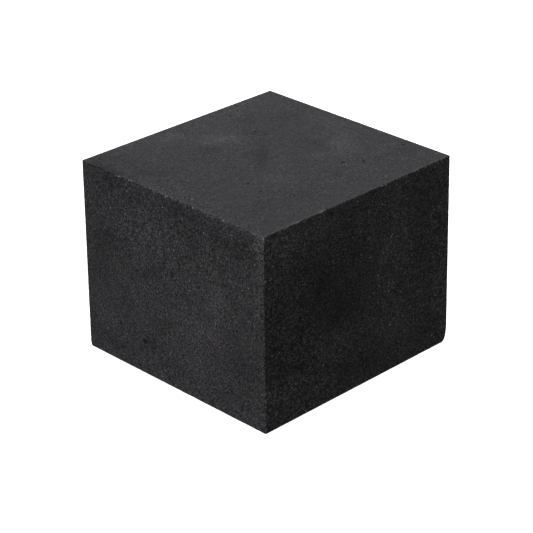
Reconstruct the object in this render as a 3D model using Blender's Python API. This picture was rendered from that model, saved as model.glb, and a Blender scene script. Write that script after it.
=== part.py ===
"""Pressed charcoal drawing block.

One free-standing solid of charcoal powder, pressed and dried as a single body. It has no
core, wrapper, seam or fastener, and nothing on it moves. The block stands on its base:
X is the long side, Y the slightly shorter side and Z the height. The origin is the centre
of the base. All sizes are in metres.

Everything is first shaped on a true box. The block is then drawn in a little towards its
top, as it is in a mould with draft, and towards its right-hand side, because it isn't
quite square in plan. The cutters are drawn in with it, so they keep their place on it.
"""

import math

import bmesh
import bpy
from mathutils import Matrix, Vector

# Driving dimensions
WIDTH = 0.050
DEPTH = 0.049
HEIGHT = 0.0395

# How far the left and right faces lean in at the top, and the front and back faces too
SIDE_DRAFT = 0.0003
FRONT_DRAFT = 0.0001
# How far the front and the back close in at the right-hand side of the block
PLAN_TAPER = 0.0003

# Every edge is rubbed back a little
EDGE_WEAR = 0.00025
EDGE_WEAR_SEGMENTS = 2
SHARP_ANGLE = math.radians(20)

# Worn corners: which way the corner lies from the centre, and how far the wear reaches
# level with the base. It reaches further up or down the standing edge.
WORN_CORNERS = (
    ((+1, -1, -1), 0.0014),
    ((+1, +1, -1), 0.0009),
    ((-1, -1, +1), 0.0007),
    ((-1, +1, -1), 0.0005),
)
CORNER_SEGMENTS = 6
UPRIGHT_REACH = 2.4

# Open pores: face, place across and up that face from its centre, width, height, depth.
# Across runs to the right and up runs upwards for someone who looks straight at the face.
PORES = (
    ("front", 0.0013, 0.0103, 0.0008, 0.0007, 0.0003),
    ("front", -0.0042, -0.0099, 0.0006, 0.0009, 0.0003),
    ("front", 0.0166, 0.0028, 0.0007, 0.0006, 0.0003),
    ("left", -0.0108, 0.0162, 0.0007, 0.0009, 0.0003),
    ("left", -0.0082, -0.0129, 0.0015, 0.0011, 0.0004),
    ("left", 0.0212, 0.0008, 0.0006, 0.0016, 0.0003),
    ("left", 0.0182, -0.0170, 0.0008, 0.0009, 0.0003),
    ("right", -0.0120, 0.0080, 0.0010, 0.0009, 0.0004),
    ("right", 0.0090, -0.0075, 0.0014, 0.0008, 0.0004),
    ("right", 0.0170, 0.0120, 0.0006, 0.0007, 0.0003),
    ("back", -0.0150, -0.0060, 0.0009, 0.0013, 0.0004),
    ("back", 0.0045, 0.0110, 0.0008, 0.0007, 0.0003),
    ("back", 0.0135, -0.0115, 0.0012, 0.0009, 0.0004),
    ("top", 0.0085, -0.0120, 0.0008, 0.0007, 0.0003),
    ("top", 0.0116, -0.0145, 0.0007, 0.0006, 0.0003),
    ("top", -0.0086, -0.0161, 0.0006, 0.0006, 0.0003),
    ("top", -0.0108, -0.0060, 0.0006, 0.0006, 0.0003),
)
PORE_SUBDIVISIONS = 2
PORE_SCOOP_RATIO = 1.6      # half height of the scoop that cuts a pore, over the pore's depth

# Chips out of the edges: the two faces that meet there, place along the edge, length, depth
EDGE_CHIPS = (
    ("left", "top", 0.0145, 0.0030, 0.00035),
    ("left", "top", 0.0108, 0.0016, 0.00030),
    ("left", "top", -0.0065, 0.0018, 0.00025),
    ("left", "top", -0.0142, 0.0013, 0.00025),
    ("front", "top", -0.0100, 0.0015, 0.00025),
    ("front", "top", 0.0062, 0.0019, 0.00030),
    ("left", "front", 0.0115, 0.0016, 0.00025),
    ("left", "front", -0.0060, 0.0013, 0.00025),
    ("right", "back", 0.0128, 0.0015, 0.00025),
    ("right", "back", 0.0040, 0.0024, 0.00035),
    ("right", "back", -0.0105, 0.0017, 0.00030),
)
CHIP_SUBDIVISIONS = 2
CHIP_SCOOP_RATIO = 2.0      # radius across the scoop that cuts a chip, over the chip's depth

# Matt charcoal
CHARCOAL_COLOUR = (0.032, 0.031, 0.033, 1.0)
CHARCOAL_ROUGHNESS = 0.85

# Each upright face and the top: the way it looks, and the way "across" runs on it
FACES = {
    "front": (Vector((0, -1, 0)), Vector((1, 0, 0))),
    "back": (Vector((0, 1, 0)), Vector((-1, 0, 0))),
    "left": (Vector((-1, 0, 0)), Vector((0, -1, 0))),
    "right": (Vector((1, 0, 0)), Vector((0, 1, 0))),
    "top": (Vector((0, 0, 1)), Vector((1, 0, 0))),
}
HALF_SIZE = Vector((WIDTH / 2, DEPTH / 2, HEIGHT / 2))
CENTRE = Vector((0, 0, HEIGHT / 2))


def clear_scene():
    for old in list(bpy.data.objects):
        bpy.data.objects.remove(old, do_unlink=True)


def link_object(name, bm):
    """Turns the finished bmesh into a named object in the scene."""
    mesh = bpy.data.meshes.new(name)
    bm.to_mesh(mesh)
    bm.free()
    obj = bpy.data.objects.new(name, mesh)
    bpy.context.scene.collection.objects.link(obj)
    return obj


def distance_to_face(outward):
    """How far a face lies from the centre of the block."""
    return abs(outward.dot(HALF_SIZE))


def charcoal_material():
    material = bpy.data.materials.new("pressed_charcoal")
    material.use_nodes = True
    shader = material.node_tree.nodes["Principled BSDF"]
    shader.inputs["Base Color"].default_value = CHARCOAL_COLOUR
    shader.inputs["Roughness"].default_value = CHARCOAL_ROUGHNESS
    shader.inputs["Metallic"].default_value = 0.0
    return material


def draw_in(bm):
    """Moves every point of the box to where it is on the tapered block."""
    for vert in bm.verts:
        rise = vert.co.z / HEIGHT
        vert.co.x *= 1 - SIDE_DRAFT * rise / HALF_SIZE.x
        rightward = vert.co.x / WIDTH + 0.5
        vert.co.y *= 1 - (FRONT_DRAFT * rise + PLAN_TAPER * rightward) / HALF_SIZE.y


def pressed_body():
    """The plain block, with its worn corners rubbed round.

    The corners are rounded while the block is squashed flat, and it is then drawn up to
    its height, so that each round is taller than it is wide.
    """
    bm = bmesh.new()
    bmesh.ops.create_cube(bm, size=1.0)
    squashed = Vector((HALF_SIZE.x, HALF_SIZE.y, HALF_SIZE.z / UPRIGHT_REACH))
    bmesh.ops.scale(bm, vec=squashed * 2, verts=bm.verts)
    for direction, reach in WORN_CORNERS:
        corner = squashed * Vector(direction)
        nearest = min(bm.verts, key=lambda vert: (vert.co - corner).length)
        bmesh.ops.bevel(
            bm,
            geom=[nearest],
            offset=reach,
            offset_type="OFFSET",
            segments=CORNER_SEGMENTS,
            profile=0.5,
            affect="VERTICES",
        )
    bmesh.ops.scale(bm, vec=Vector((1, 1, UPRIGHT_REACH)), verts=bm.verts)
    bmesh.ops.translate(bm, vec=CENTRE, verts=bm.verts)
    draw_in(bm)
    bmesh.ops.recalc_face_normals(bm, faces=bm.faces)
    return link_object("charcoal_block", bm)


def add_scoop(bm, axes, centre, half_sizes, subdivisions):
    """Adds an ellipsoid, with half_sizes measured along the three axes, to a cutter."""
    turn = Matrix(axes).transposed().to_4x4()
    stretch = Matrix.Diagonal(half_sizes).to_4x4()
    bmesh.ops.create_icosphere(
        bm,
        subdivisions=subdivisions,
        radius=1.0,
        matrix=Matrix.Translation(centre) @ turn @ stretch,
    )


def pore_cutter():
    """One shallow rounded scoop for each open pore."""
    bm = bmesh.new()
    for face, across_m, up_m, width, height, depth in PORES:
        outward, across = FACES[face]
        up = outward.cross(across)
        half_depth = depth * PORE_SCOOP_RATIO
        surface = distance_to_face(outward)
        lift = half_depth - depth
        centre = CENTRE + across * across_m + up * up_m + outward * (surface + lift)
        half_sizes = (width / 2, height / 2, half_depth)
        add_scoop(bm, (across, up, outward), centre, half_sizes, PORE_SUBDIVISIONS)
    draw_in(bm)
    return link_object("pore_cutter", bm)


def chip_cutter():
    """One long shallow scoop for each chip, lying along its edge."""
    bm = bmesh.new()
    for first, second, along_m, length, depth in EDGE_CHIPS:
        outward_1 = FACES[first][0]
        outward_2 = FACES[second][0]
        outward = (outward_1 + outward_2).normalized()
        along = Vector([abs(value) for value in outward_1.cross(outward_2)])
        across = outward.cross(along)
        edge = outward_1 * distance_to_face(outward_1) + outward_2 * distance_to_face(outward_2)
        radius = depth * CHIP_SCOOP_RATIO
        centre = CENTRE + edge + along * along_m + outward * (radius - depth)
        half_sizes = (length / 2, radius, radius)
        add_scoop(bm, (along, across, outward), centre, half_sizes, CHIP_SUBDIVISIONS)
    draw_in(bm)
    return link_object("chip_cutter", bm)


def cut_with(block, cutter):
    cutter.hide_render = True
    cutter.display_type = "WIRE"
    cut = block.modifiers.new(cutter.name, "BOOLEAN")
    cut.operation = "DIFFERENCE"
    cut.solver = "EXACT"
    cut.object = cutter


def wear_edges(block):
    wear = block.modifiers.new("edge_wear", "BEVEL")
    wear.width = EDGE_WEAR
    wear.segments = EDGE_WEAR_SEGMENTS
    wear.limit_method = "ANGLE"
    wear.angle_limit = SHARP_ANGLE
    wear.use_clamp_overlap = True


def build():
    clear_scene()
    block = pressed_body()
    block.data.materials.append(charcoal_material())
    wear_edges(block)
    cut_with(block, pore_cutter())
    cut_with(block, chip_cutter())
    block.data.shade_smooth()
    block.data.set_sharp_from_angle(angle=SHARP_ANGLE)


build()
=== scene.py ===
"""Looks of the pressed charcoal block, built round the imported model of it.

The visible block is one closed mesh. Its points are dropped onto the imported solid, so it
keeps that solid's size, worn corners, pores and chips, and it adds the finer relief of
pressed charcoal powder: grains, small pores and crumbled edges. All lengths are in metres.
"""

import itertools
import math

import bpy
import numpy as np
from mathutils import Matrix, Vector, noise
from mathutils.bvhtree import BVHTree


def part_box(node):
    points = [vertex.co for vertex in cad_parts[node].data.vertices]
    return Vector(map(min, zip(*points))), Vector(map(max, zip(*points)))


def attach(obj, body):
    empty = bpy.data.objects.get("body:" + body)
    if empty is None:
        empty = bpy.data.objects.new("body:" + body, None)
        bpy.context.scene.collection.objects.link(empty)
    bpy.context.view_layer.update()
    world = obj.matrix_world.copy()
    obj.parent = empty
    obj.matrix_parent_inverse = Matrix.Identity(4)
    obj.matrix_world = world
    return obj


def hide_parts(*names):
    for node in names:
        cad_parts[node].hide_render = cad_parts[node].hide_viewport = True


MM = 0.001
BLOCK = "charcoal_block"

# Mesh lines: their spacing on the faces, and their distances from each edge close to it
GRAIN_STEP = 0.345 * MM
RIM_STEPS = np.array((0.0, 0.07, 0.15, 0.25, 0.38, 0.56)) * MM
RIM = RIM_STEPS[-1]

# A polygon of the solid belongs to the side that its normal points along at least this much,
# and a point of the mesh belongs to the top if its direction points up at least this much
ALONG_AXIS = 0.99
POINTS_UP = 0.7

# How far off the solid each point starts before it is dropped onto it
CLEARANCE = 2 * MM

# Noise in the relief: how fast its finer octaves weaken, and how much finer each one is
NOISE_FALL = 0.9
NOISE_RATIO = 2.0

# Relief of the surface: period and height of each layer, on the sides and on the top, and
# the shifts in metres that keep the layers from repeating each other
LUMP_PERIOD = 2.6 * MM
LUMP_HEIGHT = (0.012 * MM, 0.008 * MM)
GRAIN_PERIOD = 0.50 * MM
GRAIN_HEIGHT = (0.015 * MM, 0.004 * MM)
GRAIN_SHIFT = 0.5
CRUMBLE_SHIFT = 0.25
WARP_SHIFTS = (1.0, 2.0, 3.0)

# Small open pores scattered over each side face and over the top: how many, radius, depth,
# how much longer or shorter than round, and the depth share of the largest, before limiting
PORE_COUNT = (46, 18)
PORE_RADIUS = (0.16 * MM, 0.42 * MM)
PORE_DEPTH = 0.20 * MM
PORE_STRETCH = (0.7, 1.3)
PORE_LARGEST = 1.2
PORE_SEED = 11

# Crumbled edges: period along the edge, the noise level where they start, how far in from
# the edge they go, and their greatest depth. The three edges where the top, the front and
# the left side meet crumble deeper than the others.
CRUMBLE_PERIOD = 0.8 * MM
CRUMBLE_START = 0.1
CRUMBLE_REACH = 0.7 * MM
CRUMBLE_DEPTH = 0.05 * MM
CRUMBLED_EDGES = (
    ("left", "top", 0.30 * MM),
    ("front", "top", 0.15 * MM),
    ("left", "front", 0.15 * MM),
)

# An edge counts as chipped where it lies this much lower than a sharp edge would, and the
# painted shade in a pore is full at this depth
CHIP_START = 0.10 * MM
FULL_SHADE_DEPTH = 0.12 * MM

# Edges are rubbed pale, partly wear and partly painted highlight, and chips get a painted
# highlight, fully at the top but only to this share below it. The change ends this many
# crumble reaches below the top.
UPRIGHT_SHARE = 0.2
TOP_ZONE = 1.5

# Stretches of edge that are rubbed round: the two faces, place along it, half length, depth
RUBBED_REACH = 1.2 * MM
RUBBED_STRETCHES = (
    ("left", "top", -22.0 * MM, 3.5 * MM, 0.20 * MM),
    ("left", "front", 17.0 * MM, 3.5 * MM, 0.15 * MM),
    ("right", "back", 6.0 * MM, 6.0 * MM, 0.15 * MM),
)

# Smudges and bare patches, light and dark, together with painted light and shade: the wide
# patches that make the top lighter towards its back and right and darker towards its left, the
# narrow dark band along the top's left edge near the back, and the wide bands that make the
# left side darker above and lighter below its middle are painted light and shade, and the few
# flecks at the front top edge are painted highlights. The wide patches on the front make it
# darker across its middle and lighter low at its right. For each: the face, place across and
# up it from its centre, half width and half height, all in millimetres, turn in degrees, and
# how many stops lighter or darker
SMUDGES_AND_PAINTED_LIGHT = (
    ("top", 6.0, 25.0, 28.0, 8.0, 0, 0.25),
    ("top", 18.0, -10.0, 13.0, 12.0, 0, 0.05),
    ("top", 19.0, 14.0, 8.0, 8.0, 0, 0.10),
    ("top", -20.0, -4.0, 7.0, 5.0, 0, -0.15),
    ("top", -6.0, 20.5, 2.6, 2.2, 0, 0.55),
    ("top", 0.3, 13.0, 4.4, 2.6, -45, 0.80),
    ("top", 15.0, -5.5, 5.5, 2.4, 50, 0.70),
    ("top", -5.0, -8.2, 2.6, 2.2, 0, 0.30),
    ("top", 8.5, -6.2, 2.2, 1.6, 30, 0.30),
    ("top", 22.0, 4.0, 2.5, 6.0, 0, 0.30),
    ("top", 0.3, 1.8, 4.6, 1.3, 45, -0.80),
    ("top", -5.0, 11.0, 1.8, 2.2, 0, -0.50),
    ("top", 7.8, 10.0, 2.6, 1.6, -40, -0.55),
    ("top", 11.2, -0.4, 1.4, 2.6, 0, -0.60),
    ("top", 4.6, -14.6, 1.2, 2.2, 0, -0.50),
    ("top", -7.5, -16.4, 3.0, 1.8, 0, -0.40),
    ("top", -19.0, 10.0, 3.0, 1.2, -40, -0.45),
    ("top", 17.6, 12.0, 2.4, 2.4, 0, -0.40),
    ("top", 10.6, 16.0, 3.0, 2.4, 0, -0.35),
    ("top", -21.0, 17.0, 3.5, 8.0, 0, -0.40),
    ("top", 21.0, -16.0, 2.6, 2.2, 0, -0.40),
    ("top", -18.0, -16.0, 8.0, 5.0, 0, -0.25),
    ("top", -24.4, 18.5, 0.7, 5.5, 0, -1.30),
    ("top", -9.7, -24.1, 0.5, 0.4, 0, 0.80),
    ("top", -16.5, -24.2, 0.6, 0.5, 0, 0.80),
    ("front", -4.0, -2.0, 26.0, 9.0, 0, -0.30),
    ("front", 24.0, -9.0, 3.5, 9.0, 0, 0.45),
    ("front", -9.0, 5.0, 8.5, 8.0, 0, -0.50),
    ("front", -10.4, 4.8, 1.3, 4.2, 0, -0.65),
    ("front", -5.2, -1.8, 3.8, 1.6, 0, -0.55),
    ("front", -16.2, 10.0, 2.4, 1.8, 0, -0.50),
    ("front", -1.0, 9.2, 2.2, 2.2, 0, -0.40),
    ("front", -3.2, 15.0, 2.0, 2.0, 0, -0.40),
    ("front", -23.4, 4.0, 2.0, 3.0, 0, -0.50),
    ("front", -23.4, -4.4, 1.8, 4.5, 0, -0.55),
    ("front", -17.6, -8.6, 4.2, 1.6, 0, -0.60),
    ("front", 17.6, 14.4, 3.4, 3.8, 0, -0.50),
    ("front", 17.3, 1.6, 2.2, 2.0, 0, -0.65),
    ("front", 0.6, -15.4, 7.0, 2.4, 0, -0.50),
    ("front", 19.6, -14.2, 4.0, 2.6, 0, -0.40),
    ("front", -18.8, 17.0, 4.0, 2.2, 0, 0.65),
    ("front", -10.5, 17.0, 3.4, 1.8, 0, 0.40),
    ("front", 8.4, 6.0, 1.8, 1.6, 0, 0.50),
    ("front", 8.6, 1.0, 4.6, 9.5, 0, 0.50),
    ("front", 10.4, 12.4, 1.8, 4.0, 0, 0.30),
    ("front", -7.0, -8.2, 6.0, 2.8, 0, 0.50),
    ("front", 11.0, -9.5, 6.0, 4.0, 0, 0.35),
    ("front", -21.0, -14.2, 4.0, 3.4, 0, 0.40),
    ("front", -8.2, 19.1, 0.9, 0.6, 0, -1.50),
    ("front", 3.5, 19.4, 1.2, 0.5, 0, -1.00),
    ("left", -6.0, 17.0, 26.0, 7.0, 0, -0.20),
    ("left", 0.0, -5.0, 22.0, 7.0, 0, 0.15),
    ("left", -22.0, 1.0, 4.0, 6.0, 0, 0.15),
    ("left", 11.5, 2.8, 3.0, 3.4, 0, 0.40),
    ("left", 8.6, -4.6, 6.0, 2.8, 15, 0.40),
    ("left", 6.8, -11.8, 2.4, 3.4, 0, 0.40),
    ("left", -5.5, 10.5, 6.5, 4.5, 30, 0.25),
    ("left", -19.0, -10.6, 4.0, 1.8, 0, 0.30),
    ("left", 17.5, 1.5, 4.0, 2.8, 0, 0.15),
    ("left", 23.8, 16.5, 1.3, 4.5, 0, 0.70),
    ("left", -19.8, 4.8, 3.4, 3.2, 0, -0.50),
    ("left", -16.5, 18.0, 3.4, 2.2, 0, -0.40),
    ("left", -6.8, 2.0, 3.6, 1.6, 25, -0.45),
    ("left", 6.2, 11.2, 1.8, 3.0, 0, -0.40),
    ("left", 2.2, 18.0, 4.0, 1.8, 0, -0.35),
    ("left", 16.8, 15.4, 5.6, 2.6, 0, -0.50),
    ("left", 19.8, -8.6, 4.4, 2.4, 0, -0.50),
    ("left", 16.5, -3.0, 1.5, 1.5, 0, -0.40),
    ("left", -2.8, -8.0, 1.6, 1.6, 0, -0.40),
    ("left", -6.5, -13.2, 2.6, 2.2, 0, -0.35),
    ("left", -18.5, -16.0, 5.6, 1.8, 0, -0.40),
    ("left", -21.5, -1.5, 2.4, 3.0, 0, -0.30),
    ("left", 23.3, 18.6, 2.0, 1.4, 0, 0.35),
    ("right", -12.0, 8.0, 6.0, 4.0, 30, 0.30),
    ("right", 9.0, -4.0, 5.0, 3.0, -20, 0.30),
    ("right", 16.0, 14.0, 4.0, 3.0, 0, 0.25),
    ("right", 3.0, 9.0, 5.0, 3.0, 10, -0.35),
    ("right", -14.0, -10.0, 5.0, 3.0, -15, -0.40),
    ("right", 17.0, -13.0, 3.5, 2.5, 0, -0.30),
    ("back", 7.0, 8.0, 6.0, 4.0, -25, 0.30),
    ("back", -15.0, -8.0, 5.0, 3.0, 20, 0.30),
    ("back", -4.0, 2.0, 5.0, 3.5, 0, -0.35),
    ("back", 16.0, -7.0, 4.0, 4.0, 0, -0.35),
    ("back", -18.0, 13.0, 4.0, 2.5, 0, -0.30),
)

# Where the grain is stronger (+) or weaker (-) than elsewhere, as a share, in the same form.
# The front face's first row reaches all over it.
COARSE_PATCHES = (
    ("front", -10.0, 0.0, 60.0, 90.0, 0, 0.29),
    ("left", -24.0, 2.0, 7.0, 24.0, 0, -0.22),
    ("left", -2.0, 8.0, 12.0, 9.0, 0, 0.10),
    ("top", -24.0, 2.0, 4.0, 16.0, 0, 0.60),
    ("top", 2.0, -16.0, 28.0, 2.6, 0, 0.30),
    ("top", 14.0, 4.0, 8.0, 12.0, 0, -0.15),
)

# The outlines of smudges and patches are made uneven by this much
PATCH_WARP_PERIOD = 3.0 * MM
PATCH_WARP = 1.1 * MM

# Camera: its direction, distance and offset from the centre of the block, and its lens
VIEW_YAW = math.radians(44.15)
VIEW_PITCH = math.radians(26.34)
VIEW_ROLL = math.radians(-0.84)
VIEW_DISTANCE = 401.7 * MM
VIEW_OFFSET_RIGHT = -0.30 * MM
VIEW_OFFSET_UP = -2.73 * MM
LENS = 141.00
SENSOR = 36.0
CLIP_START = 0.01

# Lights: name, place, width, height, power and colour. They all face the block.
LIGHTS = (
    ("overhead", (0.12, 0.15, 0.46), 0.40, 0.40, 1.57, (1.0, 1.0, 1.05)),
    ("left_side", (-0.80, -0.12, 0.12), 0.6, 0.4, 4.3, (1.04, 1.0, 1.04)),
    ("front_fill", (0.12, -0.80, 0.30), 0.3, 0.3, 0.66, (0.97, 1.02, 0.87)),
    ("right_side", (0.80, 0.05, 0.25), 0.5, 0.4, 2.0, (1.0, 1.0, 1.0)),
    ("back_side", (-0.05, 0.80, 0.25), 0.5, 0.4, 0.9, (1.0, 1.0, 1.0)),
)

# White backdrop: how bright it is to the camera, and how much light it gives to the block
BACKDROP_SEEN = 1.0
BACKDROP_LIGHT = 0.06
WHITE = (1.0, 1.0, 1.0, 1.0)
FLOOR_RADIUS = 3.0
FLOOR_SIDES = 96
FLOOR_COLOUR = (0.85, 0.85, 0.85, 1.0)
FLOOR_ROUGHNESS = 0.9

# Each face: the axis that it looks along, the side it lies on, and the way "across" and
# "up" run on it for someone who looks straight at it
FACES = {
    "front": (1, -1, (1, 0, 0), (0, 0, 1)),
    "back": (1, 1, (-1, 0, 0), (0, 0, 1)),
    "left": (0, -1, (0, -1, 0), (0, 0, 1)),
    "right": (0, 1, (0, 1, 0), (0, 0, 1)),
    "top": (2, 1, (1, 0, 0), (0, 1, 0)),
    "base": (2, -1, (1, 0, 0), (0, -1, 0)),
}


# ---------------------------------------------------------------- mesh of the block


def axis_lines(low, high):
    """Places of the mesh lines along one axis: close together at both ends."""
    span = high - low - 2 * RIM
    inner = np.linspace(low + RIM, high - RIM, round(span / GRAIN_STEP) + 1)
    return np.concatenate((low + RIM_STEPS[:-1], inner, high - RIM_STEPS[-2::-1]))


def box_lattice(low, high):
    """Points and quads of a closed box, whose base inside the rim is one flat face."""
    lines = [axis_lines(low[axis], high[axis]) for axis in range(3)]
    outside = np.zeros([len(line) for line in lines], bool)
    for axis in range(3):
        sheets = np.moveaxis(outside, axis, 0)
        sheets[0] = True
        sheets[-1] = True
    rim = len(RIM_STEPS) - 1
    outside[rim + 1:-rim - 1, rim + 1:-rim - 1, 0] = False
    places = np.argwhere(outside)
    number = np.full(outside.shape, -1)
    number[outside] = np.arange(len(places))
    points = np.stack([lines[axis][places[:, axis]] for axis in range(3)], axis=1)
    quads = []
    for axis in range(3):
        for side in (0, -1):
            sheet = np.take(number, side, axis=axis)
            corners = (sheet[:-1, :-1], sheet[1:, :-1], sheet[1:, 1:], sheet[:-1, 1:])
            found = np.stack(corners, axis=-1).reshape(-1, 4)
            if axis == 2 and side == 0:
                kept = np.ones(corners[0].shape, bool)
                kept[rim:-rim, rim:-rim] = False
                found = found[kept.reshape(-1)]
            if (side == 0) != (axis == 1):
                found = found[:, ::-1]
            quads.append(found)
    base = number[rim:-rim, rim:-rim, 0]
    loop = np.concatenate((base[:-1, 0], base[-1, :-1], base[:0:-1, -1], base[0, :0:-1]))
    return points, np.concatenate(quads), loop[::-1]


def solid_corners(solid):
    """The eight corners where the six main planes of the solid meet."""
    planes = {}
    for axis, side, _, _ in FACES.values():
        facing = [
            poly for poly in solid.data.polygons if poly.normal[axis] * side > ALONG_AXIS
        ]
        largest = max(facing, key=lambda poly: poly.area)
        planes[axis, side] = (np.array(largest.normal), np.dot(largest.normal, largest.center))
    corners = {}
    for signs in itertools.product((-1, 1), repeat=3):
        meeting = [planes[axis, side] for axis, side in enumerate(signs)]
        normals = np.array([normal for normal, _ in meeting])
        corners[signs] = np.linalg.solve(normals, np.array([offset for _, offset in meeting]))
    return corners


def fit_to_corners(points, low, high, corners):
    """Moves points of the box to where they are on the slightly tapered block."""
    share = (points - low) / (high - low)
    fitted = np.zeros_like(points)
    for signs, corner in corners.items():
        weight = np.ones(len(points))
        for axis, side in enumerate(signs):
            weight *= share[:, axis] if side > 0 else 1 - share[:, axis]
        fitted += weight[:, None] * corner
    return fitted


def drop_onto(solid, points, directions):
    """Moves each point along its direction until it lies on the solid."""
    tree = BVHTree.FromPolygons(
        [vertex.co for vertex in solid.data.vertices],
        [polygon.vertices for polygon in solid.data.polygons],
    )
    landed = points.copy()
    for i, (point, direction) in enumerate(zip(points, directions)):
        start = Vector(point + direction * CLEARANCE)
        hit = tree.ray_cast(start, Vector(-direction), 3 * CLEARANCE)[0]
        if hit is not None:
            landed[i] = hit
    return landed


def layer(points, period, octaves=2):
    """Smooth noise of one period at each point, between about -1 and 1."""
    scaled = points / period
    return np.array([
        noise.fractal(Vector(point), NOISE_FALL, NOISE_RATIO, octaves) for point in scaled
    ])


def scattered_pores(points, low, high):
    """Depth from 0 to 1 of the small pores at each point, none of them close to an edge."""
    random = np.random.default_rng(PORE_SEED)
    depths = np.zeros(len(points))
    for axis, side in ((0, low), (0, high), (1, low), (1, high), (2, high)):
        face = np.abs(points[:, axis] - side[axis]) < RIM / 2
        for _ in range(PORE_COUNT[1] if axis == 2 else PORE_COUNT[0]):
            centre = random.uniform(low + 2 * RIM, high - 2 * RIM)
            centre[axis] = side[axis]
            smallness = random.uniform() ** 0.5
            radius = PORE_RADIUS[1] + (PORE_RADIUS[0] - PORE_RADIUS[1]) * smallness
            stretch = random.uniform(*PORE_STRETCH, 3)
            reach = np.linalg.norm((points - centre) / stretch, axis=1) / radius
            scoop = face * np.clip(1 - reach ** 2, 0, 1) * (PORE_LARGEST - smallness)
            depths = np.maximum(depths, scoop)
    return np.clip(depths, 0, 1)


def depth_below(points, low, high, face):
    """How far each point lies in from one face."""
    axis, side = FACES[face][:2]
    return points[:, axis] - low[axis] if side < 0 else high[axis] - points[:, axis]


def edge_closeness(points, low, high, first, second, reach):
    """1 on the edge where two faces meet, down to 0 at the reach from it."""
    inward = np.maximum(
        depth_below(points, low, high, first),
        depth_below(points, low, high, second),
    )
    return np.clip(1 - inward / reach, 0, 1)


def rubbed_depth(points, low, high):
    """How deep the rubbed stretches of the edges are at each point."""
    middle = (low + high) / 2
    depths = np.zeros(len(points))
    for first, second, place, half_length, depth in RUBBED_STRETCHES:
        close = edge_closeness(points, low, high, first, second, RUBBED_REACH)
        axis = 3 - FACES[first][0] - FACES[second][0]
        along = (points[:, axis] - middle[axis] - place) / half_length
        depths += depth * close ** 2 * np.exp(-along ** 2)
    return depths


def crumble_depth(points, low, high, near_edge):
    """How deep the crumbling of the edges may be at each point."""
    depths = CRUMBLE_DEPTH * near_edge ** 2
    for first, second, depth in CRUMBLED_EDGES:
        close = edge_closeness(points, low, high, first, second, CRUMBLE_REACH)
        depths = np.maximum(depths, depth * close ** 2)
    return depths


def soft_patches(points, low, high, patches):
    """Sum of the strengths of soft-edged patches at each point."""
    warp = [layer(points + shift, PATCH_WARP_PERIOD) for shift in WARP_SHIFTS]
    warped = points - (low + high) / 2 + PATCH_WARP * np.stack(warp, axis=1)
    total = np.zeros(len(points))
    for face, across_mm, up_mm, half_width, half_height, degrees, strength in patches:
        across_way, up_way = (np.array(way) for way in FACES[face][2:])
        across = warped @ across_way / MM - across_mm
        up = warped @ up_way / MM - up_mm
        turn = math.radians(degrees)
        along = (across * math.cos(turn) + up * math.sin(turn)) / half_width
        aside = (up * math.cos(turn) - across * math.sin(turn)) / half_height
        on_face = np.clip(1 - depth_below(points, low, high, face) / RIM, 0, 1)
        total += strength * on_face * np.exp(-(along ** 2 + aside ** 2))
    return total


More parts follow.
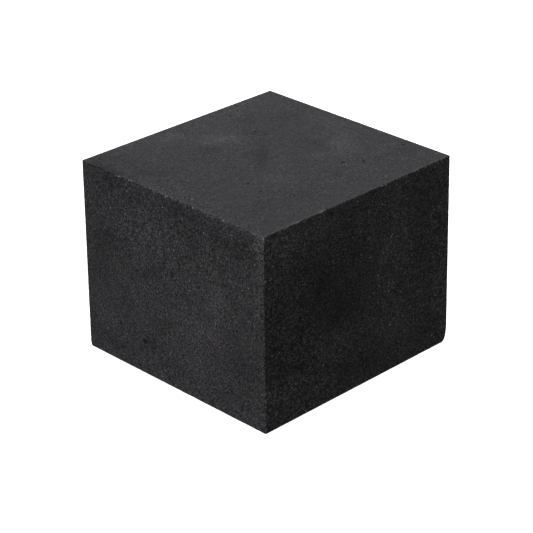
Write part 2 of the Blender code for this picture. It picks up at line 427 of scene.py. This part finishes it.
def make_block(solid, low, high):
    """The visible block, with the attributes that its material reads."""
    points, quads, base = box_lattice(low, high)
    inner = np.clip(points, low + RIM, high - RIM)
    directions = points - inner
    directions /= np.linalg.norm(directions, axis=1, keepdims=True)

    edge_distance = np.sort(np.minimum(points - low, high - points), axis=1)[:, 1]
    near_edge = np.clip(1 - edge_distance / CRUMBLE_REACH, 0, 1)
    top = np.clip(1 - (high[2] - points[:, 2]) / RIM, 0, 1) * (directions[:, 2] > POINTS_UP)
    underside = points[:, 2] < low[2] + RIM

    fitted = fit_to_corners(points, low, high, solid_corners(solid))
    landed = drop_onto(solid, fitted, directions)

    # How far the solid lies below a sharp block: a chip on an edge, a pore on a face. Pores
    # and hollows are darkened with painted shade.
    hollow = np.sum((fitted - landed) * directions, axis=1)
    # Rubbed edges and chips get their painted highlight fully near the top and less below it
    near_top = np.clip(TOP_ZONE - (high[2] - points[:, 2]) / CRUMBLE_REACH, 0, 1)
    pale_and_lit = UPRIGHT_SHARE + (1 - UPRIGHT_SHARE) * near_top
    corner_distance = np.minimum(points - low, high - points).max(axis=1)
    on_edge = (edge_distance < CRUMBLE_REACH) * (corner_distance > CRUMBLE_REACH)
    lit_chips = np.clip(hollow / CHIP_START - 1, 0, 1) * on_edge * pale_and_lit
    # Painted shade in the pores and hollows away from the edges, full at the set depth
    hollow = np.clip(hollow / FULL_SHADE_DEPTH, 0, 1) * (edge_distance > RIM)

    def mixed(pair):
        return pair[0] + (pair[1] - pair[0]) * top

    relief = mixed(LUMP_HEIGHT) * layer(points, LUMP_PERIOD)
    relief += mixed(GRAIN_HEIGHT) * layer(points + GRAIN_SHIFT, GRAIN_PERIOD)
    pores = scattered_pores(points, low, high)
    relief -= PORE_DEPTH * pores
    crumble = layer(points + CRUMBLE_SHIFT, CRUMBLE_PERIOD, octaves=3) - CRUMBLE_START
    relief -= np.clip(crumble, 0, 1) * crumble_depth(points, low, high, near_edge)
    relief -= rubbed_depth(points, low, high)

    # Nothing reaches below the surface that the block stands on, and the base stays flat
    relief[underside] = np.minimum(relief[underside], 0)
    relief[base] = 0
    placed = landed + directions * relief[:, None]
    placed[:, 2] = np.maximum(placed[:, 2], low[2])

    mesh = bpy.data.meshes.new("charcoal_body")
    faces = quads.tolist() + [base.tolist()]
    mesh.from_pydata(placed.tolist(), [], faces)
    mesh.validate()
    mesh.shade_smooth()
    # The darkness of pores and hollows is painted shade, the lighter rubbed edges and chips
    # hold painted highlight, and the patches hold smudges as well as painted light and shade
    for name, values in (
        ("top_face", top),
        ("hollow", np.maximum(hollow, pores)),
        ("rubbed_and_lit_edge", near_edge * pale_and_lit),
        ("lit_chips", lit_chips),
        ("coarse", 1 + soft_patches(points, low, high, COARSE_PATCHES)),
        ("smudge_and_painted_light", soft_patches(points, low, high, SMUDGES_AND_PAINTED_LIGHT)),
    ):
        attribute = mesh.attributes.new(name, "FLOAT", "POINT")
        attribute.data.foreach_set("value", values.astype(np.float32))
    body = bpy.data.objects.new("charcoal_body", mesh)
    bpy.context.scene.collection.objects.link(body)
    return body


# ---------------------------------------------------------------- charcoal material


class Nodes:
    """Short names for adding and joining the nodes of one material."""

    def __init__(self, name):
        self.material = bpy.data.materials.new(name)
        self.material.use_nodes = True
        self.tree = self.material.node_tree
        self.shader = self.tree.nodes["Principled BSDF"]

    def add(self, kind, settings=None, **inputs):
        node = self.tree.nodes.new(kind)
        for key, value in (settings or {}).items():
            setattr(node, key, value)
        for key, value in inputs.items():
            self.feed(node.inputs[key.replace("_", " ")], value)
        return node

    def feed(self, socket, value):
        if isinstance(value, bpy.types.NodeSocket):
            self.tree.links.new(value, socket)
        else:
            socket.default_value = value

    def math(self, operation, first, second=0.0, third=0.0, clamp=False):
        node = self.add("ShaderNodeMath", {"operation": operation, "use_clamp": clamp})
        for socket, value in zip(node.inputs, (first, second, third)):
            self.feed(socket, value)
        return node.outputs[0]

    def attribute(self, name):
        return self.add("ShaderNodeAttribute", {"attribute_name": name}).outputs["Fac"]

    def noise(self, where, period, detail, roughness, distortion=0.0):
        node = self.add(
            "ShaderNodeTexNoise",
            Vector=where,
            Scale=1 / period,
            Detail=detail,
            Roughness=roughness,
            Distortion=distortion,
        )
        return node.outputs["Fac"]

    def spread(self, value, low, high, to_low, to_high):
        node = self.add(
            "ShaderNodeMapRange",
            Value=value,
            From_Min=low,
            From_Max=high,
            To_Min=to_low,
            To_Max=to_high,
        )
        return node.outputs["Result"]


# Base colour of the charcoal, and how it swings from place to place, on the sides and on
# the top
CHARCOAL = (0.0374, 0.0370, 0.0388)
HUE_PERIOD = 3.0 * MM
HUE_SWING = (0.0015, -0.0065, 0.0065)
HUE_SHARE = (1.0, 0.3)

# Each effect below lightens (+) or darkens (-) the base colour by so many stops, or
# doublings, on the sides and on the top. First the fine grain: single grains, grit and dust,
# and the dulling, which takes off a share of the square of their sum.
GRAIN_SIZE = 0.24 * MM
GRAIN_STOPS = (1.8, 1.45)
GRIT_PERIOD = 0.30 * MM
GRIT_STOPS = (4.4, 1.1)
DUST_PERIOD = 0.13 * MM
DUST_STOPS = (2.3, 2.5)
DULLING = -0.14

# A few of the grains are bright specks, with a smoother sheen and a painted glint in their
# colour, and some are dark pits, painted shade of pits too fine for the mesh
SPECK_SHARE = 0.014
SPECK_GLINT_STOPS = (1.2, 0.9)
PIT_SHARE = 0.060
PIT_SHADE_STOPS = (-2.2, -2.0)

# Soft unevenness, fine and wide
MOTTLE_PERIOD = 1.3 * MM
MOTTLE_STOPS = (0.8, 0.6)
CLOUD_PERIOD = 10 * MM
CLOUD_STOPS = (0.6, 0.3)

# Pores darkened with painted shade, rubbed edges lightened, partly wear and partly painted
# highlight, and the bright flecks where an edge is chipped or rubbed, which are painted
# highlights. The flecks grow from nothing to full as the noise of the crumbs rises through the
# range, and the power sharpens them.
HOLLOW_SHADE_STOPS = (-1.8, -5.5)
RUBBED_PERIOD = 1.5 * MM
RUBBED_AND_LIT_STOPS = 0.8
CHIP_WEIGHT = 5.0
CRUMB_PERIOD = 0.6 * MM
CRUMB_RANGE = (0.40, 0.58)
FLECK_POWER = 2.0
FLECK_HIGHLIGHT_STOPS = 2.0

# Sheen: roughness, what a speck and the dust add to it, and the strength of the highlights
ROUGHNESS = 0.86
SPECK_ROUGHNESS = -0.25
DUST_ROUGHNESS = 0.15
SPECULAR = 0.35

# Bumps finer than the mesh: height of the noise and of the grains, and their strength on the
# sides and on the top
BUMP_PERIOD = 0.30 * MM
BUMP_HEIGHT = 0.05 * MM
BUMP_GRAIN_HEIGHT = -0.03 * MM
BUMP_STRENGTH = (0.9, 0.3)


def charcoal_material():
    """Matt black with grain, dust and pits, with painted shade in pits, pores and hollows,
    painted glints on specks, painted highlights on edges and painted light and shade in some
    wide patches, which follows the attributes of the mesh.
    """
    n = Nodes("pressed_charcoal")
    where = n.add("ShaderNodeTexCoord").outputs["Object"]
    top = n.attribute("top_face")

    def by_face(pair):
        """A number that is pair[0] on the sides and pair[1] on the top."""
        return n.spread(top, 0.0, 1.0, pair[0], pair[1])

    def centred(value):
        """The same noise, with its middle at 0 instead of at one half."""
        return n.math("SUBTRACT", value, 0.5)

    cells = n.add("ShaderNodeTexVoronoi", Vector=where, Scale=1 / GRAIN_SIZE)
    chances = n.add("ShaderNodeSeparateColor", Color=cells.outputs["Color"])
    grain = centred(chances.outputs[0])
    grit = centred(n.noise(where, GRIT_PERIOD, detail=0.0, roughness=0.5))
    # Bright specks get a painted glint and dark pits a painted shade
    speck = n.math("LESS_THAN", chances.outputs[1], SPECK_SHARE)
    pit_shade = n.math("LESS_THAN", chances.outputs[2], PIT_SHARE)
    dust = centred(n.noise(where, DUST_PERIOD, detail=2.0, roughness=0.6))
    mottle = centred(n.noise(where, MOTTLE_PERIOD, detail=2.0, roughness=0.5))
    cloud = centred(n.noise(where, CLOUD_PERIOD, detail=4.0, roughness=0.6, distortion=0.8))
    # Rubbed edges, partly wear and partly painted highlight, and chips, whose flecks are
    # painted highlights
    rubbed_and_lit = n.noise(where, RUBBED_PERIOD, detail=3.0, roughness=0.6)
    rubbed_and_lit = n.math("MULTIPLY", n.attribute("rubbed_and_lit_edge"), rubbed_and_lit)
    broken_and_lit = n.math("MULTIPLY_ADD", n.attribute("lit_chips"), CHIP_WEIGHT, rubbed_and_lit)
    crumbs = n.noise(where, CRUMB_PERIOD, detail=2.0, roughness=0.6)
    crumbs = n.spread(crumbs, *CRUMB_RANGE, 0.0, 1.0)
    fleck_highlight = n.math("POWER", n.math("MULTIPLY", broken_and_lit, crumbs, clamp=True), FLECK_POWER)

    stops = n.math("MULTIPLY", grain, by_face(GRAIN_STOPS))
    stops = n.math("MULTIPLY_ADD", grit, by_face(GRIT_STOPS), stops)
    stops = n.math("MULTIPLY_ADD", dust, by_face(DUST_STOPS), stops)
    stops = n.math("MULTIPLY_ADD", n.math("MULTIPLY", stops, stops), DULLING, stops)
    # Painted glints on the specks and painted shade in the pits
    stops = n.math("MULTIPLY_ADD", speck, by_face(SPECK_GLINT_STOPS), stops)
    stops = n.math("MULTIPLY_ADD", pit_shade, by_face(PIT_SHADE_STOPS), stops)
    stops = n.math("MULTIPLY", n.attribute("coarse"), stops)
    stops = n.math("MULTIPLY_ADD", mottle, by_face(MOTTLE_STOPS), stops)
    stops = n.math("MULTIPLY_ADD", cloud, by_face(CLOUD_STOPS), stops)
    # Painted highlights on the flecks of chipped and rubbed edges
    stops = n.math("MULTIPLY_ADD", fleck_highlight, FLECK_HIGHLIGHT_STOPS, stops)
    # Painted shade in the pores and hollows
    stops = n.math("MULTIPLY_ADD", n.attribute("hollow"), by_face(HOLLOW_SHADE_STOPS), stops)
    # Rubbed edges made lighter, partly wear and partly painted highlight
    stops = n.math("MULTIPLY_ADD", rubbed_and_lit, RUBBED_AND_LIT_STOPS, stops)
    # Smudges and bare patches, with painted light and shade in the wide patches and painted
    # highlights at the front top edge
    stops = n.math("ADD", n.attribute("smudge_and_painted_light"), stops)

    hue = centred(n.noise(where, HUE_PERIOD, detail=2.0, roughness=0.5))
    hue = n.math("MULTIPLY", hue, by_face(HUE_SHARE))
    tint = n.add("ShaderNodeVectorMath", {"operation": "MULTIPLY_ADD"})
    for socket, value in zip(tint.inputs, (hue, HUE_SWING, CHARCOAL)):
        n.feed(socket, value)
    colour = n.add("ShaderNodeVectorMath", {"operation": "SCALE"})
    n.feed(colour.inputs[0], tint.outputs[0])
    n.feed(colour.inputs["Scale"], n.math("POWER", 2.0, stops))
    n.feed(n.shader.inputs["Base Color"], colour.outputs[0])

    rough = n.math("MULTIPLY_ADD", speck, SPECK_ROUGHNESS, ROUGHNESS)
    rough = n.math("MULTIPLY_ADD", dust, DUST_ROUGHNESS, rough, clamp=True)
    n.feed(n.shader.inputs["Roughness"], rough)
    n.feed(n.shader.inputs["Specular IOR Level"], SPECULAR)

    height = n.noise(where, BUMP_PERIOD, detail=3.0, roughness=0.65)
    height = n.math("MULTIPLY", height, BUMP_HEIGHT)
    height = n.math("MULTIPLY_ADD", cells.outputs["Distance"], BUMP_GRAIN_HEIGHT, height)
    strength = by_face(BUMP_STRENGTH)
    bump = n.add("ShaderNodeBump", Height=height, Strength=strength, Distance=1.0)
    n.feed(n.shader.inputs["Normal"], bump.outputs[0])
    return n.material


# ---------------------------------------------------------------- studio


def white_floor():
    """A floor that looks plain white, lies level with the base and lights nothing."""
    bpy.ops.mesh.primitive_circle_add(
        vertices=FLOOR_SIDES, radius=FLOOR_RADIUS, fill_type="NGON"
    )
    floor = bpy.context.active_object
    floor.name = "floor"
    material = bpy.data.materials.new("white_floor")
    material.use_nodes = True
    shader = material.node_tree.nodes["Principled BSDF"]
    shader.inputs["Base Color"].default_value = FLOOR_COLOUR
    shader.inputs["Roughness"].default_value = FLOOR_ROUGHNESS
    shader.inputs["Specular IOR Level"].default_value = 0.0
    shader.inputs["Emission Color"].default_value = WHITE
    shader.inputs["Emission Strength"].default_value = BACKDROP_SEEN
    floor.data.materials.append(material)
    floor.visible_diffuse = False
    floor.visible_glossy = False


def soft_box(name, place, width, height, power, colour, target):
    """A rectangular lamp that faces the target and isn't seen itself."""
    lamp = bpy.data.lights.new(name, "AREA")
    lamp.shape = "RECTANGLE"
    lamp.size = width
    lamp.size_y = height
    lamp.energy = power
    lamp.color = colour
    box = bpy.data.objects.new(name, lamp)
    box.location = place
    aim = Vector(target) - Vector(place)
    box.rotation_euler = aim.to_track_quat("-Z", "Y").to_euler()
    box.visible_camera = False
    bpy.context.scene.collection.objects.link(box)


def studio(centre):
    """The floor, the lights, and a backdrop that is white only to the camera."""
    white_floor()
    for light in LIGHTS:
        soft_box(*light, centre)

    world = bpy.data.worlds.new("studio")
    bpy.context.scene.world = world
    world.use_nodes = True
    tree = world.node_tree
    output = tree.nodes["World Output"]
    white = tree.nodes["Background"]
    white.inputs["Strength"].default_value = BACKDROP_SEEN
    white.inputs["Color"].default_value = WHITE
    dim = tree.nodes.new("ShaderNodeBackground")
    dim.inputs["Strength"].default_value = BACKDROP_LIGHT
    dim.inputs["Color"].default_value = WHITE
    path = tree.nodes.new("ShaderNodeLightPath")
    mix = tree.nodes.new("ShaderNodeMixShader")
    tree.links.new(path.outputs["Is Camera Ray"], mix.inputs["Fac"])
    tree.links.new(dim.outputs[0], mix.inputs[1])
    tree.links.new(white.outputs[0], mix.inputs[2])
    tree.links.new(mix.outputs[0], output.inputs["Surface"])
    bpy.context.scene.view_settings.view_transform = "Standard"


def camera(centre):
    """The camera, aimed by its yaw, pitch and roll and then moved aside by its offset."""
    forward = Vector((
        math.cos(VIEW_PITCH) * math.sin(VIEW_YAW),
        math.cos(VIEW_PITCH) * math.cos(VIEW_YAW),
        -math.sin(VIEW_PITCH),
    ))
    right = forward.cross(Vector((0, 0, 1))).normalized()
    up = right.cross(forward)
    turned_right = right * math.cos(VIEW_ROLL) + up * math.sin(VIEW_ROLL)
    turned_up = up * math.cos(VIEW_ROLL) - right * math.sin(VIEW_ROLL)
    place = centre - forward * VIEW_DISTANCE + right * VIEW_OFFSET_RIGHT + up * VIEW_OFFSET_UP
    lens = bpy.data.cameras.new("camera")
    lens.lens = LENS
    lens.sensor_width = SENSOR
    lens.clip_start = CLIP_START
    eye = bpy.data.objects.new("camera", lens)
    turn = Matrix((turned_right, turned_up, -forward)).transposed().to_4x4()
    eye.matrix_world = Matrix.Translation(place) @ turn
    bpy.context.scene.collection.objects.link(eye)
    bpy.context.scene.camera = eye


# ---------------------------------------------------------------- scene


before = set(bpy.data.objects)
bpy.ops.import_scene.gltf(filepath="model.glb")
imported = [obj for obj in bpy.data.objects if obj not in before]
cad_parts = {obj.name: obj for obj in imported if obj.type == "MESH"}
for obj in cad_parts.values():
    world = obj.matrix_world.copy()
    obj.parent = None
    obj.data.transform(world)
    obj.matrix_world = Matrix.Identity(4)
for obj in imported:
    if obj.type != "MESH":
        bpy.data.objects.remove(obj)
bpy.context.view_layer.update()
lowest, highest = (np.array(corner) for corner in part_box(BLOCK))
centre = Vector((lowest + highest) / 2)

body = make_block(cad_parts[BLOCK], lowest, highest)
body.data.materials.append(charcoal_material())
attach(body, "root")
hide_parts(BLOCK)

studio(centre)
camera(centre)
